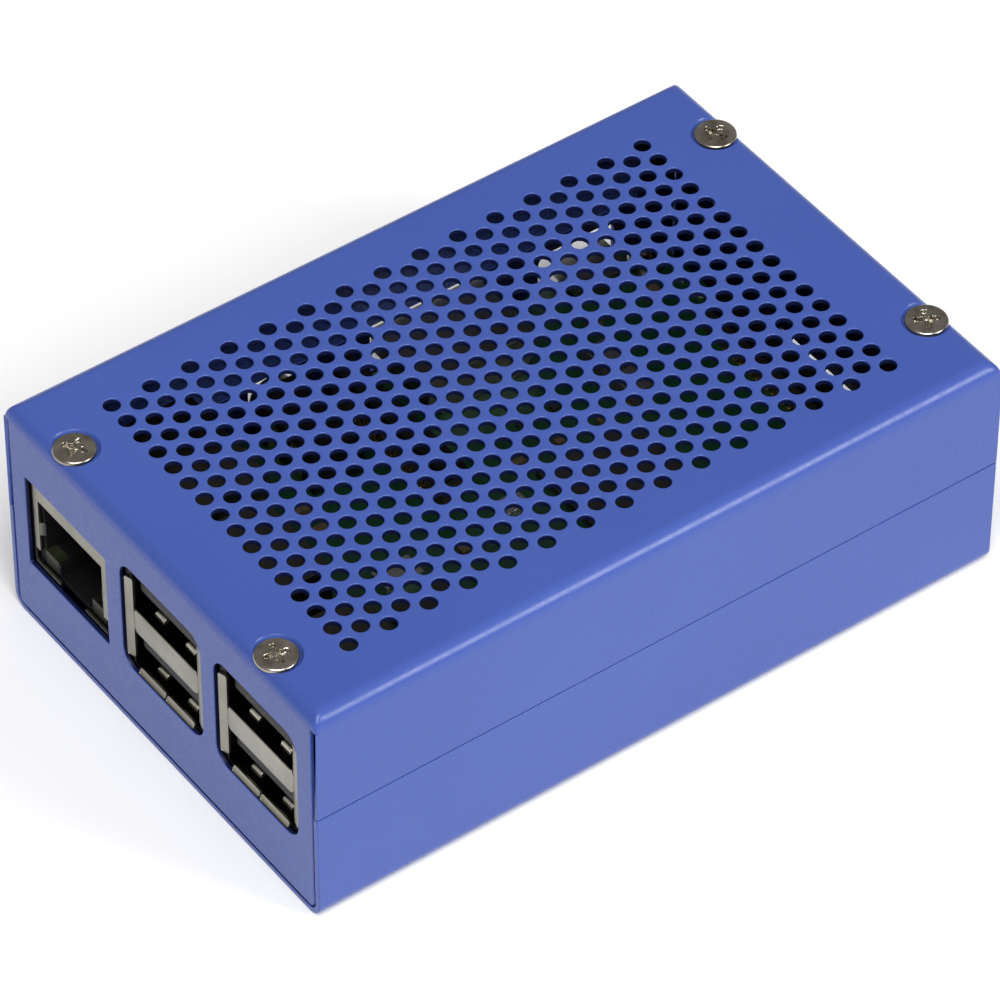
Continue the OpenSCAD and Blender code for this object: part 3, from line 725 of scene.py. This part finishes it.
def make_screws():
    """Four cover screws, each a turned profile whose top is pressed in by cross_depth."""
    edge = np.linspace(0, np.pi / 2, 7)
    top = [(r, HEAD_TOP) for r in np.linspace(0.02, 1.9, 40)]
    r, z = HEAD_R - HEAD_EDGE, HEAD_TOP - HEAD_EDGE
    rim = [(r + HEAD_EDGE * math.sin(a), z + HEAD_EDGE * math.cos(a)) for a in edge]
    under = [(HEAD_R - 0.05, SEAT_Z + 0.02), (THREAD_R, SEAT_Z + 0.01)]
    ridges = [(THREAD_R - 0.18 * (k % 2), SEAT_Z - 0.25 * k) for k in range(1, 15)]
    profile = np.array([*top, *rim, *under, *ridges, (0.7, THREAD_LOW)])
    n = 108
    t = np.arange(n) * 2 * np.pi / n
    points, faces = [], []
    for (sx, sy), degrees in SCREW_TURNS.items():
        first = sum(len(block) for block in points)
        x = profile[:, :1] * np.cos(t)
        y = profile[:, :1] * np.sin(t)
        z = np.repeat(profile[:, 1:], n, 1)
        on_top = np.arange(len(profile)) < len(top)
        z[on_top] -= cross_depth(x, y, math.radians(degrees))[on_top]
        place = np.stack([x + sx * SCREW_X, y + sy * SCREW_Y, z], 2).reshape(-1, 3)
        ends = np.array([place[:n].mean(0), (sx * SCREW_X, sy * SCREW_Y, THREAD_LOW)])
        points += [place, ends]
        i = np.arange(len(profile) - 1)[:, None] * n
        j = np.arange(n)
        k = (j + 1) % n
        quads = np.stack([i + j, i + n + j, i + n + k, i + k], 2).reshape(-1, 4) + first
        last = first + (len(profile) - 1) * n
        centre = first + len(place)
        faces += [quads, np.stack([j + first, k + first, 0 * j + centre], 1)]
        faces.append(np.stack([k + last, j + last, 0 * j + centre + 1], 1))
    piece = add_piece(
        "cover_screw_set", np.concatenate(points), faces, "cover", nickel,
        ["cover_screws"], 60,
    )
    even_normals(piece)


make_screws()

# ---------------------------------------------------------------- port details

PORT_FACE = HALF_L - END_SHEET - 0.1
LIP_X = PORT_FACE + 0.34
USB_Y = (0.5, 18.5)
USB_FLOORS = (9.75, 18.5)
USB_OPEN_H = 5.2
LIP_Y, LIP_LOW, LIP_HIGH, LIP_R = 6.1, USB_FLOORS[0] + 1.05, 22.9, 0.3
TONGUE_UP, TONGUE_W, TONGUE_H, TONGUE_BACK = 3.5, 11.2, 1.5, 0.6
FINGER_Y, FINGER_BACK, FINGER_CLIMB, FINGER_ROLL = 2.95, 4.45, 2.9, 0.40
FINGER_H, FINGER_HALF, FINGER_DROP, FINGER_THICK = 0.66, 0.9, 0.12, 0.16
NETWORK_Y, NETWORK_HALF = -18.4, 6.45


def add_plate(name, loop, place, thickness, rim, finish, body="case"):
    """A thin sheet piece: a closed loop, put in space by place(points, depth), edges rounded."""
    flat, faces = flat_pattern(inset(loop, rim), [], [], lambda p: np.ones(len(p), bool))
    points, skins = thick_sheet(flat, faces, place, thickness, rim)
    return add_piece(name, points, skins, body, finish, smooth=50)


def leaning(root, across, along):
    """A place function for a plate at root, spread by two vectors, its outer side their cross."""
    root, across, along = (np.array(v, float) for v in (root, across, along))
    normal = np.cross(across, along)
    normal /= np.linalg.norm(normal)

    def place(p, depth):
        return root + p[:, :1] * across + p[:, 1:] * along - depth * normal

    return place


def make_usb_lips(label, y):
    """The sprung lips round a USB stack, the plate between its openings and its four fingers."""
    lean = LIP_X - PORT_FACE
    for side, name in ((-1, "left"), (1, "right")):
        loop = rounded_box(0.6, (LIP_HIGH + LIP_LOW) / 2, 1.2, LIP_HIGH - LIP_LOW, LIP_R, 5)
        root = (PORT_FACE + 0.02, y + side * LIP_Y, 0)
        place = leaning(root, (lean / 1.2, side * 0.96, 0), (0, 0, 1))
        add_plate(f"usb_{name}_lip_{label}", loop, place, side * 0.28, 0.1, tin)
    for k, (a, b) in enumerate(((-5.15, -0.1), (0.08, 5.4))):
        loop = rounded_box((a + b) / 2, 0.42, b - a, 0.84, LIP_R, 5)
        root = (PORT_FACE + 0.02, y, USB_FLOORS[0] + 0.25)
        place = leaning(root, (0, 1, 0), (lean / 0.8, 0, -0.86))
        add_plate(f"usb_low_lip_{k}_{label}", loop, place, -0.28, 0.1, tin)
    loop = rounded_box(0, (USB_FLOORS[0] + USB_OPEN_H + USB_FLOORS[1]) / 2, 12.3, 3.5, 0.75, 5)
    place = leaning((PORT_FACE + 0.1, y, 0), (0, 1, 0), (0, 0, 1))
    add_plate(f"usb_bridge_{label}", loop, place, 0.3, 0.12, tin)
    for level, floor in enumerate(USB_FLOORS):
        for side in (-1, 1):
            middle = y + side * FINGER_Y + 0.05
            make_finger(f"usb_finger_{level}_{side + 1}_{label}", middle, floor)
        make_tongue(f"usb_tongue_{level}_{label}", y, floor)


def make_tongue(name, y, floor):
    """The front of an insert's tongue: a rounded outline drawn out along X, its nose rounded."""
    loop = rounded_box(y, floor + TONGUE_UP, TONGUE_W, TONGUE_H, 0.35, 4)
    place = leaning((PORT_FACE - TONGUE_BACK, 0, 0), (0, 1, 0), (0, 0, 1))
    add_plate(name, loop, place, 1.0, 0.2, grey)


def make_finger(name, y, floor):
    """A contact finger: a strip that climbs from the floor, rolls over a crest and dips again.

    Its height over the floor is 0.66 times sin(pi s / 2) up to the crest at s = 1, then 0.66 times
    cos(pi (s - 1) / 2); it is 1.8 wide, and its edges drop by 0.12 times w to the fourth."""
    s = np.concatenate([np.linspace(0, 1, 9), 1 + np.linspace(0, 1, 8)[1:]])
    roll = (s - 1) * np.pi / 2
    ahead = np.where(s < 1, FINGER_CLIMB * s, FINGER_CLIMB + FINGER_ROLL * np.sin(roll))
    x = PORT_FACE - FINGER_BACK + ahead
    z = floor + FINGER_H * np.where(s < 1, np.sin(s * np.pi / 2), np.cos(roll))
    w = np.linspace(-1, 1, 9)
    m = len(w)
    top = np.stack(
        [
            np.repeat(x, m),
            y + np.tile(FINGER_HALF * w, len(s)),
            np.repeat(z, m) - np.tile(FINGER_DROP * np.abs(w) ** 4, len(s)),
        ],
        1,
    )
    under = top - (0, 0, FINGER_THICK)
    under[:, 2] = np.minimum(under[:, 2], floor - 0.02)
    rows = m * np.arange(len(s) - 1)
    i = (rows[:, None] + np.arange(m - 1)).ravel()
    quads = np.stack([i, i + m, i + m + 1, i + 1], 1)
    n = len(top)
    rim = np.concatenate(
        [np.arange(m), 2 * m - 1 + rows, n - 2 - np.arange(m - 1), n - 2 * m - rows]
    )[:-1]
    after = np.roll(rim, -1)
    wall = np.stack([rim, after, after + n, rim + n], 1)
    faces = [quads, quads[:, ::-1] + n, wall]
    points = np.concatenate([top, under])
    add_piece(name, points, faces, "case", finger_tin_painted_glint, smooth=50)


def make_network_tabs():
    """The two sprung tabs in the jack's mouth, bent in and back from its side strips."""
    for side, name in ((-1, "left"), (1, "right")):
        loop = rounded_box(0.6, 15.0, 1.2, 1.9, 0.2, 4)
        root = (PORT_FACE + 0.01, NETWORK_Y + side * NETWORK_HALF, 0)
        place = leaning(root, (-0.6, -side * 0.6, 0), (0, 0, 1))
        add_plate(f"network_tab_{name}", loop, place, -side * 0.25, 0.08, tab_tin)


for label, y in zip(("middle", "side"), USB_Y):
    make_usb_lips(label, y)
make_network_tabs()

# ---------------------------------------------------------------- CAD nodes that stay

FINISH_OF_NODE = {
    "usb_shell_middle": port_tin,
    "usb_shell_side": port_tin,
    "network_shell": jack_tin,
    "memory_card": black,
}
EDGE_OF_NODE = {"header_pins": 0.08, "circuit_board": 0.15, "standoffs": 0.2, "audio_body": 0.2}


def soften(node, width):
    """Merges a node's loose triangles and rounds its sharp edges by width, as modifiers."""
    weld = node.modifiers.new("weld", "WELD")
    weld.merge_threshold = 0.002 * MM
    bevel = node.modifiers.new("soft_edges", "BEVEL")
    bevel.width = width * MM
    bevel.segments = 2
    bevel.limit_method = "ANGLE"
    bevel.angle_limit = math.radians(40)
    bevel.harden_normals = False


for row in frame["record"]["subparts"]:
    node = nodes[row["node"]]
    node.data.materials.clear()
    node.data.materials.append(FINISH_OF_NODE.get(row["node"], FINISH_OF_SLOT[row["material_slot"]]))
    if row["node"] not in ("top_cover", "bottom_tray", "cover_screws"):
        soften(node, EDGE_OF_NODE.get(row["node"], 0.06))


# ---------------------------------------------------------------- floor, light and camera


def pale_floor():
    """A wide pale floor under the object."""
    half = 3000
    mesh = bpy.data.meshes.new("floor")
    corners = [(-half, -half, -0.02), (half, -half, -0.02), (half, half, -0.02), (-half, half, -0.02)]
    mesh.from_pydata([tuple(c * MM for c in p) for p in corners], [], [(0, 1, 2, 3)])
    floor = bpy.data.objects.new("floor", mesh)
    bpy.context.scene.collection.objects.link(floor)
    white = surface("pale_floor", (0.90, 0.90, 0.90), (0.92, 0.92, 0.92), 0.9, grain=50, cloud=2)
    mesh.materials.append(white)


def soft_light(name, direction, distance, size, power):
    """A square softbox that looks at the object from a direction."""
    lamp = bpy.data.lights.new(name, "AREA")
    lamp.shape = "SQUARE"
    lamp.size = size
    lamp.energy = power
    light = bpy.data.objects.new(name, lamp)
    bpy.context.scene.collection.objects.link(light)
    away = Vector(direction).normalized()
    light.location = away * distance
    light.rotation_mode = "QUATERNION"
    light.rotation_quaternion = away.to_track_quat("Z", "Y")


def studio():
    """A dim dome, a broad key light from the viewer's side and a tall box that lights the long fold."""
    world = bpy.data.worlds.new("studio")
    bpy.context.scene.world = world
    world.use_nodes = True
    world.node_tree.nodes["Background"].inputs["Color"].default_value = (1.0, 0.99, 0.97, 1)
    world.node_tree.nodes["Background"].inputs["Strength"].default_value = 0.27
    soft_light("key_box", (0.26, 0.40, 0.85), 1.6, 1.0, 26.0)
    soft_light("fold_box", (-0.43, 0.71, 0.55), 1.3, 0.45, 7.6)
    bpy.context.scene.view_settings.view_transform = "Standard"


def place_camera():
    """A long lens that looks down on the corner between the ports and the header side."""
    azimuth, elevation, roll = map(math.radians, (143.717, 44.667, 0.186))
    aim = Vector((1.99, 1.87, 15.45)) * MM
    distance = 729.15 * MM
    away = Vector(
        (
            math.sin(azimuth) * math.cos(elevation),
            -math.cos(azimuth) * math.cos(elevation),
            math.sin(elevation),
        )
    )
    data = bpy.data.cameras.new("camera")
    data.sensor_width = 36
    data.lens = 236.03
    data.clip_start = 0.05
    data.clip_end = 50
    camera = bpy.data.objects.new("camera", data)
    bpy.context.scene.collection.objects.link(camera)
    camera.location = aim + away * distance
    camera.rotation_mode = "QUATERNION"
    turn = away.to_track_quat("Z", "Y")
    turn.rotate(Quaternion(away, roll))
    camera.rotation_quaternion = turn
    bpy.context.scene.camera = camera


pale_floor()
studio()
place_camera()
